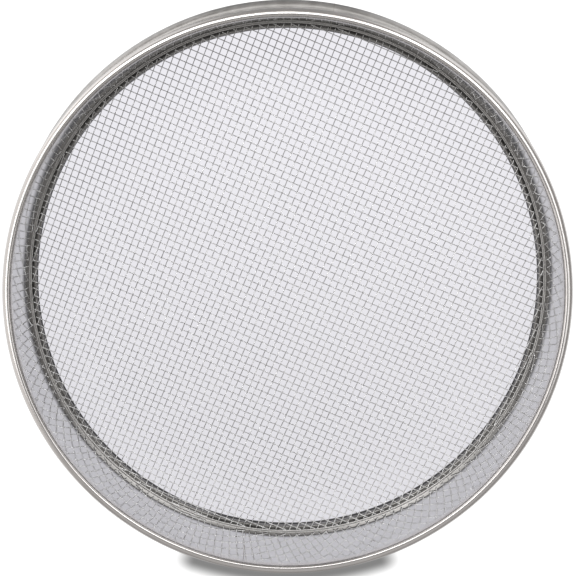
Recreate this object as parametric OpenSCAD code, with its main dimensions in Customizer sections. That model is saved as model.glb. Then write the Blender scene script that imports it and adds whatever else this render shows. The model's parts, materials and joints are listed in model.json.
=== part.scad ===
// Garden soil sieve with a loose, exchangeable woven wire disc.
// The drum stands on its base ring, +Z points out of its open rim,
// and the origin is the centre of the base plane. Millimetres.

/* [Drum] */
// Inside diameter of the drum
drum_inner_d = 290; // [200:5:400]
// Height from the base plane to the top of the rim
drum_h = 72; // [50:1:120]
// Thickness of the drum's sheet
sheet_t = 0.6; // [0.4:0.1:0.8]
// Direction of the hoop's seam, seen from above
seam_deg = 260.5; // [0:0.5:360]
// Gap between the two ends of a hoop or a ring at its seam
seam_gap = 0.4; // [0.2:0.1:1]
// Width of a weld's bead on the outside of a seam
bead_w = 2.4; // [1:0.2:5]
// Height of that bead
bead_h = 0.2; // [0.1:0.1:0.4]

/* [Rolled rim] */
// Outside diameter of the roll
roll_d = 4.8; // [4:0.1:6]
// How much of a turn the roll leaves open, just outside the wall
roll_open_deg = 46; // [46:1:80]
// Free play between the roll and the wire inside it
core_play = 0.1; // [0.05:0.05:0.2]

/* [Base ring] */
// Height of the hollow ring that the drum stands on
ring_h = 8; // [7:0.5:12]
// How far the ring stands into the drum, as the wire disc's seat
seat_w = 3.3; // [3:0.1:6]
// How far the ring stands out of the drum
ledge_w = 12.2; // [8:0.1:16]
// Thickness of the ring's sheet
ring_t = 0.6; // [0.4:0.1:0.8]
// Outside radius of the ring's bends towards the drum's axis
nose_r = 1.2; // [1:0.1:2]
// Outside radius of the bends where the sheet turns down along the wall
lip_r = 0.9; // [0.8:0.1:1.2]
// How far the sheet reaches down along both sides of the wall
grip_h = 3; // [2:0.5:4]
// Direction of the ring's seam, seen from above
ring_seam_deg = 80.5; // [0:0.5:360]
// Number of tack welds between the wall and the ring
tack_count = 12; // [6:1:24]
// Diameter of each tack weld's bead
tack_d = 1.8; // [1.6:0.1:2.4]
// Length of each tack weld's bead
tack_l = 5; // [3:0.5:8]

/* [Wire disc] */
// Play between the wire disc and the wall, all round
disc_play = 0.8; // [0.5:0.1:1.5]
// Distance from one wire to the next
mesh_pitch = 3.74; // [2.5:0.01:12]
// Diameter of the wires
wire_d = 0.5; // [0.4:0.05:0.9]
// Direction of the warp wires, seen from above
warp_deg = 66.8; // [0:0.1:180]

/* [Hidden] */

drum_r = drum_inner_d / 2;
outer_r = drum_r + sheet_t;
roll_r = roll_d / 2;
roll_centre_r = drum_r + roll_r;
roll_centre_z = drum_h - roll_r;
core_r = roll_r - sheet_t - core_play;

ring_r = ring_h / 2;
ring_centre_r = drum_r + ledge_w - ring_r;
seat_r = drum_r - seat_w;
wall_low_z = ring_h - grip_h;

// The flat wire disc lies on the ring's seat.
rest_gap = 0.02;
disc_r = drum_r - disc_play;
disc_z = ring_h + rest_gap;
wires_each_side = floor((disc_r - wire_d) / mesh_pitch);

$fn = 96;

// A triangle that reaches from the origin past a roll's outside,
// between two directions less than 90 degrees apart.
module sector(from_deg, to_deg) {
    reach = 2 * roll_d;
    polygon([
        [0, 0],
        [reach * cos(from_deg), reach * sin(from_deg)],
        [reach * cos(to_deg), reach * sin(to_deg)]
    ]);
}

// A thin upright slot from the axis outwards, for the ends of a hoop.
module seam_slot(direction, width) {
    rotate([0, 0, direction])
        translate([drum_r / 2, -width / 2, -1])
            cube([drum_r, width, drum_h + 2]);
}

// Section of the hoop's straight sheet.
module wall_section() {
    translate([drum_r, wall_low_z])
        square([sheet_t, roll_centre_z - wall_low_z]);
}

// Section of the rim, rolled outwards and left open just outside the wall.
module roll_section() {
    translate([roll_centre_r, roll_centre_z])
        difference() {
            circle(r = roll_r);
            circle(r = roll_r - sheet_t);
            sector(180, 180 + roll_open_deg);
        }
}

// Outline of the base ring, shrunk by an inset: half round on the outside,
// flat on top and below, and square with rounded corners inside the drum.
module ring_outline(inset) {
    translate([ring_centre_r, ring_r])
        circle(r = ring_r - inset);
    translate([seat_r + nose_r, inset])
        square([ring_centre_r - seat_r - nose_r, ring_h - 2 * inset]);
    translate([seat_r + inset, nose_r])
        square([ring_centre_r - seat_r - inset, ring_h - 2 * nose_r]);
    for (bend_z = [nose_r, ring_h - nose_r])
        translate([seat_r + nose_r, bend_z])
            circle(r = nose_r - inset);
}

// Corner that a bend leaves empty between the ring's top and the wall.
module lip_corner(wall_face_r, away) {
    centre_r = wall_face_r + away * lip_r;
    difference() {
        translate([centre_r - (away > 0 ? lip_r : 0), ring_h - lip_r])
            square(lip_r);
        translate([centre_r, ring_h - lip_r])
            circle(r = lip_r);
    }
}

// Section of the base ring: hollow, with both edges of its sheet turned
// down along the wall that stands between them.
module ring_section() {
    difference() {
        ring_outline(0);
        difference() {
            ring_outline(ring_t);
            translate([drum_r - ring_t, wall_low_z])
                square([sheet_t + 2 * ring_t, grip_h]);
        }
        translate([drum_r, wall_low_z])
            square([sheet_t, grip_h]);
        lip_corner(drum_r, -1);
        lip_corner(outer_r, 1);
    }
}

module drum_wall() {
    color("lightgray")
        difference() {
            rotate_extrude() union() {
                wall_section();
                roll_section();
            }
            seam_slot(seam_deg, seam_gap);
        }
}

// The weld that closes the hoop: a filler in the gap and a low bead outside.
module wall_seam_weld() {
    low_z = ring_h + 0.5;
    high_z = roll_centre_z - roll_r - 0.5;
    color("silver")
        intersection() {
            rotate_extrude()
                translate([drum_r, low_z])
                    square([sheet_t + bead_h, high_z - low_z]);
            union() {
                seam_slot(seam_deg, seam_gap);
                difference() {
                    seam_slot(seam_deg, bead_w);
                    cylinder(r = outer_r, h = drum_h);
                }
            }
        }
}

// The wire ring inside the rim's roll, with its ends apart at the seam.
module rim_core_wire() {
    color("gray")
        difference() {
            rotate_extrude()
                translate([roll_centre_r, roll_centre_z])
                    circle(r = core_r);
            seam_slot(seam_deg, seam_gap);
        }
}

module base_ring() {
    color("darkgray")
        difference() {
            rotate_extrude() ring_section();
            seam_slot(ring_seam_deg, seam_gap);
        }
}

// The weld that closes the base ring, ground flush with it.
module ring_seam_weld() {
    color("silver")
        intersection() {
            rotate_extrude() ring_section();
            seam_slot(ring_seam_deg, seam_gap);
        }
}

// Beads that fill the groove between the wall's outside and the base ring.
module tack_welds() {
    color("dimgray")
        intersection() {
            rotate_extrude()
                difference() {
                    translate([outer_r + lip_r / 2, ring_h])
                        circle(d = tack_d);
                    translate([outer_r - tack_d, ring_h - tack_d])
                        square([tack_d, 2 * tack_d]);
                    difference() {
                        ring_outline(0);
                        lip_corner(outer_r, 1);
                    }
                }
            for (i = [0 : tack_count - 1])
                seam_slot(seam_deg + (i + 0.5) * 360 / tack_count, tack_l);
        }
}

// One layer of parallel straight wires, cut to the disc's round outline.
module wire_layer(centre_z) {
    for (i = [-wires_each_side : wires_each_side]) {
        offset_y = i * mesh_pitch;
        edge_y = abs(offset_y) + wire_d / 2;
        half_length = sqrt(disc_r * disc_r - edge_y * edge_y);
        translate([-half_length, offset_y, centre_z])
            rotate([0, 90, 0])
                cylinder(d = wire_d, h = 2 * half_length);
    }
}

module warp_wires() {
    color("slategray")
        rotate([0, 0, warp_deg])
            wire_layer(disc_z + wire_d / 2);
}

module weft_wires() {
    color("lightslategray")
        rotate([0, 0, warp_deg + 90])
            wire_layer(disc_z + 3 * wire_d / 2);
}

drum_wall();
wall_seam_weld();
rim_core_wire();
base_ring();
ring_seam_weld();
tack_welds();
warp_wires();
weft_wires();
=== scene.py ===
"""Looks of the soil sieve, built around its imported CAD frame. Metres, base plane at z = 0."""

import json
import math

import bmesh
import bpy
import numpy as np
from mathutils import Matrix, Vector

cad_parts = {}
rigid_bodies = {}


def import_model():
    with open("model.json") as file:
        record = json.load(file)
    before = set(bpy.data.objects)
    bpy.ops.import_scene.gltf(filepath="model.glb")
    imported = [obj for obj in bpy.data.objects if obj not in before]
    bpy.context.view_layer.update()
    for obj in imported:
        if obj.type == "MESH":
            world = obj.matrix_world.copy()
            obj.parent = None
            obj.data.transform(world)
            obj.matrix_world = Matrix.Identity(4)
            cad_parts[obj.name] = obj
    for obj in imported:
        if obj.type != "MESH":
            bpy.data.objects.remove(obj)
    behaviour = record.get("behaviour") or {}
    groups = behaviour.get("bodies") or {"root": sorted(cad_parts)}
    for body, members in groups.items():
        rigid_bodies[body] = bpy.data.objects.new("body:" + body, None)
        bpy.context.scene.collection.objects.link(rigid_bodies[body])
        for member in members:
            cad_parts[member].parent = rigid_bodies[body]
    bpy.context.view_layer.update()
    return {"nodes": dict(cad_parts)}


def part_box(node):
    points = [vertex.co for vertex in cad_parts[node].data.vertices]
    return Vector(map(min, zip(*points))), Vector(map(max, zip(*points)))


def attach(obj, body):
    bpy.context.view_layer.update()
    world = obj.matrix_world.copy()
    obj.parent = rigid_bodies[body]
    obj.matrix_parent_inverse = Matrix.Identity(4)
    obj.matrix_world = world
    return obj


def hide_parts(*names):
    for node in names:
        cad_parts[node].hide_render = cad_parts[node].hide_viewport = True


MM = 0.001

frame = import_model()
scene = bpy.context.scene

# ---------------------------------------------------------------- dimensions

SHEET_T = 0.6 * MM
ROLL_R = 2.4 * MM
ROLL_OPEN_DEG = 46
NOSE_R = 1.2 * MM
LIP_R = 0.65 * MM
GRIP_H = 3 * MM
SEAT_W = 3.3 * MM
SEAT_SLOPE_DEG = 6
SEAM_DEG = 260.5
SEAM_GAP = 0.12 * MM
RING_SEAM_DEG = 80.5
DISC_PLAY = 0.8 * MM
MESH_PITCH = 3.74 * MM
WARP_DEG = 66.8

wall_low, wall_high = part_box("drum_wall")
_, ring_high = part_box("base_ring")
warp_low, warp_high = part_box("warp_wires")
weft_low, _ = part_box("weft_wires")

RIM_R = wall_high.x
WALL_R = RIM_R - 2 * ROLL_R
RIM_CENTRE_Z = wall_high.z - ROLL_R
RING_H = ring_high.z
RING_R = RING_H / 2
RING_CENTRE_R = ring_high.x - RING_R
SEAT_R = WALL_R - SEAT_W
WIRE_D = warp_high.z - warp_low.z
WEAVE_Z = weft_low.z
DISC_R = WALL_R - DISC_PLAY

# ---------------------------------------------------------------- geometry helpers


def arc(centre, radii, from_deg, to_deg, steps):
    """Points on an elliptic arc in the (r, z) half-plane."""
    angles = np.radians(np.linspace(from_deg, to_deg, steps + 1))
    return [(centre[0] + radii[0] * math.cos(a), centre[1] + radii[1] * math.sin(a)) for a in angles]


def strip(centreline, thickness):
    """Closed outline of a sheet of even thickness along a centreline."""
    line = np.array(centreline)
    keep = np.concatenate(([True], np.linalg.norm(np.diff(line, axis=0), axis=1) > 1e-6))
    line = line[keep]
    tangent = np.gradient(line, axis=0)
    tangent /= np.linalg.norm(tangent, axis=1)[:, None]
    normal = np.stack((-tangent[:, 1], tangent[:, 0]), axis=1)
    half = thickness / 2
    return np.concatenate((line + normal * half, (line - normal * half)[::-1]))


def make_object(name, points, faces, smooth_deg=40):
    mesh = bpy.data.meshes.new(name)
    mesh.from_pydata(points.tolist(), [], faces)
    mesh.validate()
    mesh.shade_smooth()
    mesh.set_sharp_from_angle(angle=math.radians(smooth_deg))
    piece = bpy.data.objects.new(name, mesh)
    scene.collection.objects.link(piece)
    work = bmesh.new()
    work.from_mesh(mesh)
    bmesh.ops.recalc_face_normals(work, faces=work.faces)
    work.to_mesh(mesh)
    work.free()
    return piece


def sweep_round(name, outline, seam_deg, gap, steps, shape=None):
    """Turns an outline about the axis, from one side of a seam's gap to the other, and caps the ends."""
    outline = np.array(outline)
    half_gap = gap / 2 / outline[:, 0].mean()
    angles = math.radians(seam_deg) + np.linspace(half_gap, 2 * math.pi - half_gap, steps + 1)
    theta, _ = np.meshgrid(angles, outline[:, 0], indexing="ij")
    r = np.broadcast_to(outline[:, 0], theta.shape)
    z = np.broadcast_to(outline[:, 1], theta.shape)
    if shape:
        r, z = shape(theta, r, z)
    points = np.stack((r * np.cos(theta), r * np.sin(theta), z), axis=-1).reshape(-1, 3)
    count = len(outline)
    faces = []
    for i in range(steps):
        for j in range(count):
            k = (j + 1) % count
            faces.append((i * count + j, (i + 1) * count + j, (i + 1) * count + k, i * count + k))
    half = count // 2
    for base in (0, steps * count):
        for j in range(half - 1):
            faces.append((base + j, base + j + 1, base + count - 2 - j, base + count - 1 - j))
    return make_object(name, points, faces)


def waves(theta, seed, count, lowest, highest):
    """A smooth wave round the drum, between about -1 and 1, from a few seeded harmonics."""
    rng = np.random.default_rng(seed)
    total = np.zeros_like(theta)
    for _ in range(count):
        order = rng.integers(lowest, highest + 1)
        total += rng.uniform(0.4, 1) * np.cos(order * theta + rng.uniform(0, 2 * math.pi))
    return total / (0.7 * count)


# ---------------------------------------------------------------- materials

RIM_TINT = (1.0, 0.97, 0.945, 1)
RIM_EXTRA_ROUGHNESS = 0.14
# Painted highlight: a pale colour along the ring's lip at the wall.
LIP_PAINTED_HIGHLIGHT = (0.97, 0.96, 0.94, 1)
LIP_EXTRA_ROUGHNESS = 0.34
SATIN_EXTRA_ROUGHNESS = 0.22
# Painted shade: a dark colour mixed into the ring's seat, standing in for the dark room it mirrors.
SEAT_PAINTED_SHADE = (0.05, 0.05, 0.05, 1)
SEAT_SHADE_SHARE = 0.45


class Nodes:
    """Short names for building a node tree."""

    def __init__(self, tree):
        self.tree = tree
        tree.nodes.clear()

    def add(self, kind, **settings):
        node = self.tree.nodes.new(kind)
        for key, value in settings.items():
            setattr(node, key, value)
        return node

    def link(self, out, into):
        self.tree.links.new(out, into)

    def put(self, socket, value):
        if isinstance(value, bpy.types.NodeSocket):
            self.link(value, socket)
        else:
            socket.default_value = value

    def math(self, operation, *values):
        node = self.add("ShaderNodeMath", operation=operation)
        for socket, value in zip(node.inputs, values):
            self.put(socket, value)
        return node.outputs[0]

    def stretch(self, vector, scale):
        node = self.add("ShaderNodeVectorMath", operation="MULTIPLY")
        self.link(vector, node.inputs[0])
        node.inputs[1].default_value = scale
        return node.outputs[0]

    def noise(self, vector, scale, detail=3.0, roughness=0.55):
        node = self.add("ShaderNodeTexNoise")
        self.link(vector, node.inputs["Vector"])
        node.inputs["Scale"].default_value = scale
        node.inputs["Detail"].default_value = detail
        node.inputs["Roughness"].default_value = roughness
        return node.outputs["Fac"]

    def ramp(self, value, low, high, to_low, to_high):
        node = self.add("ShaderNodeMapRange", interpolation_type="SMOOTHSTEP")
        for name, amount in (("From Min", low), ("From Max", high), ("To Min", to_low), ("To Max", to_high)):
            node.inputs[name].default_value = amount
        self.link(value, node.inputs["Value"])
        return node.outputs["Result"]

    def mix_colour(self, share, first, second):
        node = self.add("ShaderNodeMix", data_type="RGBA")
        self.put(node.inputs["Factor"], share)
        self.put(node.inputs["A"], first)
        self.put(node.inputs["B"], second)
        return node.outputs["Result"]


def warm_rim(n, place, colour, rough):
    """Makes the rim bead duller and a little warmer than the wall below it."""
    split = n.add("ShaderNodeSeparateXYZ")
    n.link(place, split.inputs[0])
    at_rim = n.ramp(split.outputs["Z"], RIM_CENTRE_Z - 2 * ROLL_R, RIM_CENTRE_Z, 0.0, 1.0)
    rough = n.math("MULTIPLY_ADD", at_rim, RIM_EXTRA_ROUGHNESS, rough)
    tinted = n.add("ShaderNodeMix", data_type="RGBA", blend_type="MULTIPLY")
    n.put(tinted.inputs["Factor"], 1.0)
    n.link(colour, tinted.inputs["A"])
    n.link(n.mix_colour(at_rim, (1.0, 1.0, 1.0, 1), RIM_TINT), tinted.inputs["B"])
    return tinted.outputs["Result"], rough


def ring_satin_and_painted_light(n, place, colour, rough):
    """Dulls the ring's lip at the wall and paints it pale as a painted highlight line, makes the ring's
    outside satin, and darkens the seat as painted shade for the dark room it mirrors.
    """
    flat = n.add("ShaderNodeVectorMath", operation="LENGTH")
    n.link(n.stretch(place, (1.0, 1.0, 0.0)), flat.inputs[0])
    radius = flat.outputs["Value"]
    # Painted highlight: the lip is rougher and also gets a pale colour, mixed in below.
    lip = n.math("MULTIPLY", n.ramp(radius, WALL_R - LIP_R, WALL_R - 0.5 * MM, 0.0, 1.0),
                 n.ramp(radius, WALL_R + 0.1 * MM, WALL_R + 0.3 * MM, 1.0, 0.0))
    rough = n.math("MULTIPLY_ADD", lip, LIP_EXTRA_ROUGHNESS, rough)
    satin = n.ramp(radius, WALL_R + SHEET_T, WALL_R + 3 * MM, 0.0, SATIN_EXTRA_ROUGHNESS)
    rough = n.math("ADD", rough, satin)
    # Painted shade: the seat is darkened to stand in for the dark room it mirrors.
    seat = n.math("MULTIPLY", n.ramp(radius, SEAT_R + 0.4 * MM, SEAT_R + 0.9 * MM, 0.0, SEAT_SHADE_SHARE),
                  n.ramp(radius, WALL_R - 1.1 * MM, WALL_R - 0.7 * MM, 1.0, 0.0))
    colour = n.mix_colour(seat, colour, SEAT_PAINTED_SHADE)
    return n.mix_colour(lip, colour, LIP_PAINTED_HIGHLIGHT), rough


def steel(name, light, dark, roughness, streak, streak_depth, dent_scale, dent_depth, own_look_and_painted_light=None):
    """Stainless steel with fine streaks, soft mottling and shallow dents, and any tint, roughness or painted
    light of its own.
    """
    material = bpy.data.materials.new(name)
    material.use_nodes = True
    n = Nodes(material.node_tree)
    place = n.add("ShaderNodeTexCoord").outputs["Object"]
    streaks = n.noise(n.stretch(place, streak), 1.0, 4.0)
    mottle = n.noise(place, 55.0, 4.0)
    smears = n.noise(place, 12.0, 2.0)
    shade = n.math("MULTIPLY_ADD", streaks, 0.55, n.math("MULTIPLY", mottle, 0.45))
    colour = n.mix_colour(n.ramp(shade, 0.32, 0.68, 0.0, 1.0), dark, light)
    rough = n.math("ADD", n.ramp(shade, 0.3, 0.7, roughness * 0.75, roughness * 1.25),
                   n.ramp(smears, 0.4, 0.75, 0.0, roughness * 0.35))
    if own_look_and_painted_light:
        colour, rough = own_look_and_painted_light(n, place, colour, rough)
    fine = n.add("ShaderNodeBump")
    fine.inputs["Strength"].default_value = 1.0
    fine.inputs["Distance"].default_value = streak_depth
    n.link(streaks, fine.inputs["Height"])
    coarse = n.add("ShaderNodeBump")
    coarse.inputs["Strength"].default_value = 1.0
    coarse.inputs["Distance"].default_value = dent_depth
    n.link(n.noise(place, dent_scale, 2.0), coarse.inputs["Height"])
    n.link(fine.outputs["Normal"], coarse.inputs["Normal"])
    surface = n.add("ShaderNodeBsdfPrincipled")
    surface.inputs["Metallic"].default_value = 1.0
    n.link(colour, surface.inputs["Base Color"])
    n.link(rough, surface.inputs["Roughness"])
    n.link(coarse.outputs["Normal"], surface.inputs["Normal"])
    out = n.add("ShaderNodeOutputMaterial")
    n.link(surface.outputs[0], out.inputs["Surface"])
    return material


ROUND_STREAK = (12.0, 12.0, 900.0)

drum_steel = steel("drum_steel", (0.85, 0.85, 0.86, 1), (0.76, 0.76, 0.77, 1), 0.05,
                   ROUND_STREAK, 0.0004 * MM, 60.0, 0.004 * MM, warm_rim)
ring_steel = steel("ring_steel", (0.66, 0.65, 0.64, 1), (0.48, 0.47, 0.46, 1), 0.16,
                   (160.0, 160.0, 160.0), 0.002 * MM, 90.0, 0.02 * MM, ring_satin_and_painted_light)
wire_steel = steel("wire_steel", (0.82, 0.82, 0.82, 1), (0.66, 0.66, 0.66, 1), 0.30,
                   (500.0, 500.0, 500.0), 0.004 * MM, 900.0, 0.01 * MM)
core_steel = steel("core_steel", (0.46, 0.45, 0.44, 1), (0.30, 0.29, 0.28, 1), 0.42,
                   (60.0, 60.0, 500.0), 0.01 * MM, 300.0, 0.02 * MM)
weld_steel = steel("weld_steel", (0.60, 0.58, 0.55, 1), (0.34, 0.32, 0.30, 1), 0.34,
                   (900.0, 900.0, 300.0), 0.03 * MM, 700.0, 0.08 * MM)


def finish_piece(piece, body, material, slot, *nodes):
    piece.data.materials.clear()
    piece.data.materials.append(material)
    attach(piece, body)
    if nodes:
        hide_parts(*nodes)


# ---------------------------------------------------------------- drum wall and rolled rim


def wall_outline():
    """Sheet up the wall and over into a roll whose crown lies nearer the inside."""
    half = SHEET_T / 2
    line_r = ROLL_R - half
    inner = WALL_R + half
    crown_r = WALL_R + 0.68 * ROLL_R
    roll_r = WALL_R + ROLL_R
    low = [(inner, z) for z in np.linspace(wall_low.z, RIM_CENTRE_Z, 60)]
    up = arc((crown_r, RIM_CENTRE_Z), (crown_r - inner, line_r), 180, 90, 10)
    out_r = roll_r + line_r - crown_r
    over = arc((crown_r, RIM_CENTRE_Z), (out_r, line_r), 90, 0, 14)
    under = arc((roll_r, RIM_CENTRE_Z), (line_r, line_r), 0, -180 + ROLL_OPEN_DEG, 14)
    return strip(low + up + over + under, SHEET_T)


def wall_shape(theta, r, z):
    """Hand-drawn sheet isn't quite round: shallow waves, deepest half way up the wall."""
    level = (z - wall_low.z) / (wall_high.z - wall_low.z)
    share = np.sin(np.clip(level, 0, 1) * math.pi)
    ripple = waves(theta, 5, 7, 4, 17) + 0.4 * np.sin(9 * level + 3 * theta)
    return r + 0.04 * MM * share * ripple, z


wall = sweep_round("drum_wall_sheet", wall_outline(), SEAM_DEG, SEAM_GAP, 540, wall_shape)
finish_piece(wall, "drum", drum_steel, "drum_steel", "drum_wall")

# ---------------------------------------------------------------- base ring


def ring_outline():
    """Sheet from inside the wall over the sloping seat, round the foot and back up outside the wall."""
    half = SHEET_T / 2
    slope = math.radians(SEAT_SLOPE_DEG)
    lip = LIP_R - half
    nose = NOSE_R - half
    lip_centre = (WALL_R - LIP_R, RING_H - LIP_R)
    nose_r = SEAT_R + NOSE_R
    drop = (lip_centre[0] - nose_r) * math.tan(slope)
    nose_z = lip_centre[1] + (lip - nose) / math.cos(slope) - drop
    inner_lip = arc(lip_centre, (lip, lip), 0, 90 + SEAT_SLOPE_DEG, 8)
    inner_leg = [(WALL_R - half, RING_H - z) for z in np.linspace(GRIP_H, 1.3 * LIP_R, 4)]
    seat_top = arc((nose_r, nose_z), (nose, nose), 90 + SEAT_SLOPE_DEG, 180, 10)
    foot = arc((nose_r, NOSE_R), (nose, nose), 180, 270, 8)
    line_r = RING_R - half
    outside = arc((RING_CENTRE_R, RING_R), (line_r, line_r), -90, 90, 44)
    outer_centre = (WALL_R + SHEET_T + LIP_R, RING_H - LIP_R)
    outer_lip = arc(outer_centre, (lip, lip), 90, 180, 8)
    outer_leg = [(WALL_R + SHEET_T + half, RING_H - z) for z in np.linspace(1.3 * LIP_R, GRIP_H, 4)]
    return strip(inner_leg + inner_lip + seat_top + foot + outside + outer_lip + outer_leg, SHEET_T)


def ring_shape(theta, r, z):
    """Forming marks: fine radial puckers over the outside of the ring, and a faint wobble of the seat."""
    side = (r - RING_CENTRE_R) / RING_R
    height = (z - RING_R) / RING_R
    outer_top = np.clip(side + 0.2, 0, 1) * np.clip(height + 0.6, 0, 1)
    pucker = waves(theta, 11, 9, 50, 150) * (0.6 + 0.4 * waves(theta, 12, 4, 3, 9))
    inward = 0.09 * MM * outer_top * (1 + pucker)
    seat = np.clip(-side - 0.5, 0, 1) * np.clip(height, 0, 1)
    new_z = z - 0.03 * MM * seat * (1 + waves(theta, 13, 5, 5, 19)) - inward * np.clip(height, 0, 1)
    new_r = r - inward * np.clip(side, 0, 1)
    return new_r, new_z


ring = sweep_round("base_ring_sheet", ring_outline(), RING_SEAM_DEG, SEAM_GAP, 900, ring_shape)
finish_piece(ring, "drum", ring_steel, "ring_steel", "base_ring")

# ---------------------------------------------------------------- woven wire disc

TUBE_SIDES = 8
STEPS_PER_PITCH = 8
PARTS_PER_LAYER = 4
# Half the height between crossing wires' centres: they clear each other by a hundredth of a millimetre.
CRIMP = WIRE_D / 2 * 1.02
# How the cloth is drawn out of square, per metre: the warps fan out and the wefts grow apart.
FAN = -0.30
SPREAD = 0.23

warp_dir = math.radians(WARP_DEG)
normal_a = np.array((math.sin(warp_dir), -math.cos(warp_dir)))
normal_b = np.array((-math.cos(warp_dir), -math.sin(warp_dir)))


def weave_place(i, j):
    """Where wire lines i and j cross, in metres; the cloth is drawn a little out of square."""
    basis = np.linalg.inv(np.stack((normal_a, normal_b)))
    u = i * MESH_PITCH
    v = j * MESH_PITCH
    point = np.stack((u, v), axis=-1) @ basis.T
    for _ in range(6):
        a = point @ normal_a
        b = point @ normal_b
        along = -b
        bend_a = FAN * a * along
        bend_b = 0.5 * SPREAD * b * b
        point = np.stack((u - bend_a, v - bend_b), axis=-1) @ basis.T
    return point


def wire_run(number, is_warp):
    """Centreline points of one crimped wire, cut off at the disc's edge."""
    reach = int(DISC_R / MESH_PITCH * 1.15) + 2
    s = np.linspace(-reach, reach, 2 * reach * STEPS_PER_PITCH + 1)
    fixed = np.full_like(s, number)
    place = weave_place(fixed, s) if is_warp else weave_place(s, fixed)
    lift = CRIMP * np.cos(math.pi * (s + number)) * (1 if is_warp else -1)
    inside = np.nonzero(np.linalg.norm(place, axis=1) < DISC_R - WIRE_D / 2)[0]
    if len(inside) < 4:
        return None
    keep = slice(inside[0], inside[-1] + 1)
    return np.column_stack((place[keep], WEAVE_Z + lift[keep]))


def tube(run, radius):
    """Points and faces of a closed tube along a run."""
    tangent = np.gradient(run, axis=0)
    tangent /= np.linalg.norm(tangent, axis=1)[:, None]
    side = np.cross(tangent, (0.0, 0.0, 1.0))
    side /= np.linalg.norm(side, axis=1)[:, None]
    up = np.cross(side, tangent)
    angles = np.linspace(0, 2 * math.pi, TUBE_SIDES, endpoint=False)
    across = np.cos(angles)[None, :, None] * side[:, None]
    along = np.sin(angles)[None, :, None] * up[:, None]
    points = (run[:, None] + radius * (across + along)).reshape(-1, 3)
    corner = np.arange(TUBE_SIDES)
    row = np.arange(len(run) - 1)[:, None] * TUBE_SIDES
    first = row + corner
    after = row + (corner + 1) % TUBE_SIDES
    quads = np.stack((first, after, after + TUBE_SIDES, first + TUBE_SIDES), axis=-1)
    faces = quads.reshape(-1, 4).tolist()
    last = (len(run) - 1) * TUBE_SIDES
    faces.append(list(range(TUBE_SIDES))[::-1])
    faces.append([last + k for k in range(TUBE_SIDES)])
    return points, faces


def weave_layer(name, is_warp, node):
    count = int(DISC_R / MESH_PITCH * 1.1) + 1
    runs = [wire_run(number, is_warp) for number in range(-count, count + 1)]
    runs = [run for run in runs if run is not None]
    bounds = np.linspace(0, len(runs), PARTS_PER_LAYER + 1).astype(int)
    for part in range(PARTS_PER_LAYER):
        all_points, all_faces, start = [], [], 0
        for run in runs[bounds[part]:bounds[part + 1]]:
            points, faces = tube(run, WIRE_D / 2)
            all_points.append(points)
            all_faces += [[start + k for k in face] for face in faces]
            start += len(points)
        piece = make_object(f"{name}_{part + 1}", np.concatenate(all_points), all_faces, 60)
        finish_piece(piece, "wire_disc", wire_steel, "wire_steel", node)


weave_layer("warp_wire", True, "warp_wires")
weave_layer("weft_wire", False, "weft_wires")

# ---------------------------------------------------------------- CAD nodes that stay

for node, material in (("rim_core_wire", core_steel), ("wall_seam_weld", weld_steel),
                       ("ring_seam_weld", weld_steel), ("tack_welds", weld_steel)):
    cad = frame["nodes"][node]
    cad.data.materials.clear()
    cad.data.materials.append(material)

# ---------------------------------------------------------------- floor, light and camera

CAMERA_TILT = math.radians(8.1)
CAMERA_DISTANCE = 819 * MM
CAMERA_LENS = 97.5
# How far the camera aims to the right of the rim's centre and above it, in degrees.
AIM_RIGHT_DEG = 0.0147
AIM_UP_DEG = 0.3526

# The floor's shade in front of the ring: it fades between two distances and between two angles.
SHADE_NEAR = 17 * MM
SHADE_FAR = 27 * MM
SHADE_DEPTH = 0.84
SHADE_INNER_DEG = 18
SHADE_OUTER_DEG = 23

# Lamps: angle from the camera's axis, strength, and width of the lamp as the pieces see it.
WIRE_LAMP_DEG = 22
WIRE_LAMP_STRENGTH = 0.45
RIM_LAMP_DEG = 32
RIM_LAMP_STEP_DEG = 30
RIM_LAMP_STRENGTHS = (0.09, 0.11, 0.14, 0.18, 0.14, 0.12, 0.13)
LAMP_WIDTH_DEG = 20

rim_centre = Vector((0, 0, RIM_CENTRE_Z))
axis = Vector((0, math.sin(CAMERA_TILT), math.cos(CAMERA_TILT)))


def off_axis(degrees, toward_deg):
    """Direction that leans from the camera's axis by some degrees, towards a direction in the image."""
    across = Vector((1, 0, 0))
    upward = Vector((0, math.cos(CAMERA_TILT), -math.sin(CAMERA_TILT)))
    lean = across * math.cos(math.radians(toward_deg)) + upward * math.sin(math.radians(toward_deg))
    angle = math.radians(degrees)
    return axis * math.cos(angle) + lean * math.sin(angle)


def contact_shade(n, place, distance):
    """Share of light lost on the floor in front of the ring, as if the ring shaded it."""
    toward_front = n.math("DIVIDE", n.math("MULTIPLY", place.outputs["Y"], -1.0), distance)
    near = n.ramp(distance, ring_high.x + SHADE_NEAR, ring_high.x + SHADE_FAR, SHADE_DEPTH, 0.0)
    in_front = n.ramp(toward_front, math.cos(math.radians(SHADE_OUTER_DEG)),
                      math.cos(math.radians(SHADE_INNER_DEG)), 0.0, 1.0)
    return n.math("MULTIPLY", near, in_front)


def mirrored_glow(n, incoming, place, distance, outside):
    """Glow that metal sees: the middle only when looked at steeply and with a painted shadow beside the
    ring's seat, the outside more at the sides.
    """
    steep = n.ramp(n.math("ABSOLUTE", incoming.outputs["Z"]), 0.50, 0.80, 0.04, 0.58)
    # Painted shadow: the floor just inside the ring's seat glows far less in reflections.
    painted_seat_shadow = n.ramp(distance, SEAT_R - 3.2 * MM, SEAT_R - 1.2 * MM, 1.0, 0.08)
    side_share = n.math("DIVIDE", n.math("ABSOLUTE", place.outputs["X"]), distance)
    sideways = n.ramp(side_share, 0.15, 0.6, 0.25, 0.8)
    return n.math("MAXIMUM", n.math("MULTIPLY", steep, painted_seat_shadow), n.math("MULTIPLY", outside, sideways))


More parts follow.
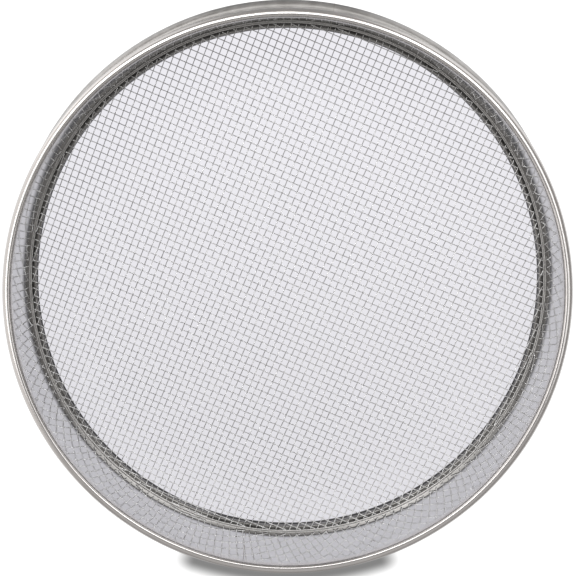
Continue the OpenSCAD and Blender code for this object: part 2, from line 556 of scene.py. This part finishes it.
def make_floor():
    """A pale table that glows one way for the camera and another in reflections, with painted shade inside
    the drum, in front of the ring and beside its seat.
    """
    bpy.ops.mesh.primitive_circle_add(vertices=96, radius=3.0, fill_type="NGON", location=(0, 0, -0.05 * MM))
    floor = bpy.context.object
    floor.name = "floor"
    material = bpy.data.materials.new("light_table")
    material.use_nodes = True
    n = Nodes(material.node_tree)
    seen = n.add("ShaderNodeLightPath").outputs["Is Camera Ray"]
    geometry = n.add("ShaderNodeNewGeometry")
    incoming = n.add("ShaderNodeSeparateXYZ")
    n.link(geometry.outputs["Incoming"], incoming.inputs[0])
    place = n.add("ShaderNodeSeparateXYZ")
    n.link(geometry.outputs["Position"], place.inputs[0])
    flat = n.add("ShaderNodeCombineXYZ")
    n.link(place.outputs["X"], flat.inputs["X"])
    n.link(place.outputs["Y"], flat.inputs["Y"])
    length = n.add("ShaderNodeVectorMath", operation="LENGTH")
    n.link(flat.outputs[0], length.inputs[0])
    distance = length.outputs["Value"]
    outside = n.ramp(distance, WALL_R, ring_high.x, 0.0, 1.0)
    # Painted shade: inside the drum the floor glows less than outside it, and less towards -Y.
    shaded_inside_level = n.ramp(place.outputs["Y"], -WALL_R, WALL_R, 0.72, 0.84)
    level = n.math("MULTIPLY_ADD", outside, n.math("SUBTRACT", 1.15, shaded_inside_level), shaded_inside_level)
    shade = n.math("MULTIPLY", contact_shade(n, place, distance), outside)
    level = n.math("MULTIPLY", level, n.math("SUBTRACT", 1.0, shade))
    camera_level = n.math("MULTIPLY", seen, level)
    mirrored = mirrored_glow(n, incoming, place, distance, outside)
    glossy_level = n.math("MULTIPLY", n.math("SUBTRACT", 1.0, seen), mirrored)
    glow = n.add("ShaderNodeEmission")
    tint = n.mix_colour(outside, (0.985, 0.975, 1.03, 1), (1.0, 1.0, 1.0, 1))
    n.link(tint, glow.inputs["Color"])
    n.link(n.math("ADD", camera_level, glossy_level), glow.inputs["Strength"])
    matt = n.add("ShaderNodeBsdfDiffuse")
    matt.inputs["Color"].default_value = (0.12, 0.12, 0.12, 1)
    both = n.add("ShaderNodeAddShader")
    n.link(glow.outputs[0], both.inputs[0])
    n.link(matt.outputs[0], both.inputs[1])
    out = n.add("ShaderNodeOutputMaterial")
    n.link(both.outputs[0], out.inputs["Surface"])
    floor.data.materials.append(material)


def spot(n, direction, toward, inner, outer):
    """Share of a round patch in the room: 1 within an inner angle and 0 beyond an outer one, in degrees."""
    lean = n.add("ShaderNodeVectorMath", operation="DOT_PRODUCT")
    n.link(direction, lean.inputs[0])
    lean.inputs[1].default_value = toward
    edge = math.cos(math.radians(outer))
    full = math.cos(math.radians(inner))
    return n.ramp(lean.outputs["Value"], edge, full, 0.0, 1.0)


def make_world():
    """A dim room with soft lights and two dark shapes in it. The camera itself sees plain white."""
    world = bpy.data.worlds.new("studio")
    scene.world = world
    world.use_nodes = True
    n = Nodes(world.node_tree)
    direction = n.add("ShaderNodeTexCoord").outputs["Generated"]
    total = None
    # Direction, inner and outer radius in degrees, colour and strength of each soft light.
    lights = (
        (off_axis(12, 90), 10, 34, (0.96, 0.95, 0.93), 0.35),
        (off_axis(22, 140), 5, 15, (1.0, 0.99, 0.97), 1.7),
        (off_axis(22, 34), 5, 15, (1.0, 0.99, 0.97), 1.4),
        (off_axis(75, 180), 25, 55, (1.0, 0.97, 0.94), 0.5),
        (off_axis(50, 270), 12, 38, (1.0, 1.0, 1.0), 0.16),
        (off_axis(82, 132), 8, 34, (1.0, 0.98, 0.97), 0.7),
        (off_axis(82, 48), 8, 34, (1.0, 0.98, 0.97), 0.7),
    )
    for toward, inner, outer, tint, strength in lights:
        patch = n.add("ShaderNodeVectorMath", operation="SCALE")
        patch.inputs[0].default_value = tint
        share = spot(n, direction, toward, inner, outer)
        n.link(n.math("MULTIPLY", share, strength), patch.inputs["Scale"])
        if total is None:
            total = patch.outputs[0]
        else:
            both = n.add("ShaderNodeVectorMath", operation="ADD")
            n.link(total, both.inputs[0])
            n.link(patch.outputs[0], both.inputs[1])
            total = both.outputs[0]
    room = n.add("ShaderNodeVectorMath", operation="ADD")
    n.link(total, room.inputs[0])
    room.inputs[1].default_value = (0.30, 0.29, 0.28)
    # Two dark shapes that the seat mirrors: one round the camera, one below it in the image.
    round_camera = spot(n, direction, off_axis(1.5, 270), 4, 8)
    below_camera = spot(n, direction, off_axis(15.5, 270), 4.5, 8.5)
    dark = n.math("MAXIMUM", round_camera, below_camera)
    dim = n.add("ShaderNodeVectorMath", operation="SCALE")
    n.link(room.outputs[0], dim.inputs[0])
    n.link(n.math("MULTIPLY_ADD", dark, -0.96, 1.0), dim.inputs["Scale"])
    seen = n.add("ShaderNodeLightPath").outputs["Is Camera Ray"]
    colour = n.mix_colour(seen, dim.outputs[0], (1.0, 1.0, 1.0, 1))
    background = n.add("ShaderNodeBackground")
    n.link(colour, background.inputs["Color"])
    out = n.add("ShaderNodeOutputWorld")
    n.link(background.outputs[0], out.inputs["Surface"])


def lamp(name, degrees, toward_deg, strength, pieces):
    """A far soft lamp that shines only on some of the pieces."""
    data = bpy.data.lights.new(name, "SUN")
    data.energy = strength
    data.angle = math.radians(LAMP_WIDTH_DEG)
    sun = bpy.data.objects.new(name, data)
    scene.collection.objects.link(sun)
    sun.matrix_world = off_axis(degrees, toward_deg).to_track_quat("Z", "Y").to_matrix().to_4x4()
    lit = bpy.data.collections.new(name + "_lit")
    for piece in pieces:
        lit.objects.link(piece)
    sun.light_linking.receiver_collection = lit


def make_lamps():
    """Two lamps that glint on every second bend of the wires, and an arc of them for the rim."""
    wires = [piece for piece in bpy.data.objects if piece.name.startswith(("warp_wire_", "weft_wire_"))]
    lamp("left_lamp", WIRE_LAMP_DEG, 140, WIRE_LAMP_STRENGTH, wires)
    lamp("right_lamp", WIRE_LAMP_DEG, 38, WIRE_LAMP_STRENGTH, wires)
    for i, strength in enumerate(RIM_LAMP_STRENGTHS):
        turn = math.radians(RIM_LAMP_STEP_DEG * i)
        across = RIM_LAMP_DEG * math.cos(turn)
        upward = RIM_LAMP_DEG * math.sin(turn) - 2 * math.degrees(CAMERA_TILT)
        toward_deg = math.degrees(math.atan2(upward, across))
        lamp(f"rim_lamp_{i + 1}", math.hypot(across, upward), toward_deg, strength, [wall])


def make_camera():
    data = bpy.data.cameras.new("camera")
    data.lens = CAMERA_LENS
    data.sensor_width = 36
    data.clip_start = 0.05
    data.clip_end = 20
    camera = bpy.data.objects.new("camera", data)
    scene.collection.objects.link(camera)
    upward = Vector((0, math.cos(CAMERA_TILT), -math.sin(CAMERA_TILT)))
    across = Vector((1, 0, 0))
    camera.location = rim_centre + axis * CAMERA_DISTANCE
    aim = -axis + across * math.tan(math.radians(AIM_RIGHT_DEG)) + upward * math.tan(math.radians(AIM_UP_DEG))
    back = -aim.normalized()
    right = upward.cross(back).normalized()
    up = back.cross(right)
    turned = Matrix((right, up, back)).transposed().to_4x4()
    camera.matrix_world = Matrix.Translation(camera.location) @ turned
    scene.camera = camera


make_floor()
make_world()
make_lamps()
make_camera()
scene.view_settings.view_transform = "Standard"
scene.view_settings.look = "None"

bpy.context.view_layer.update()
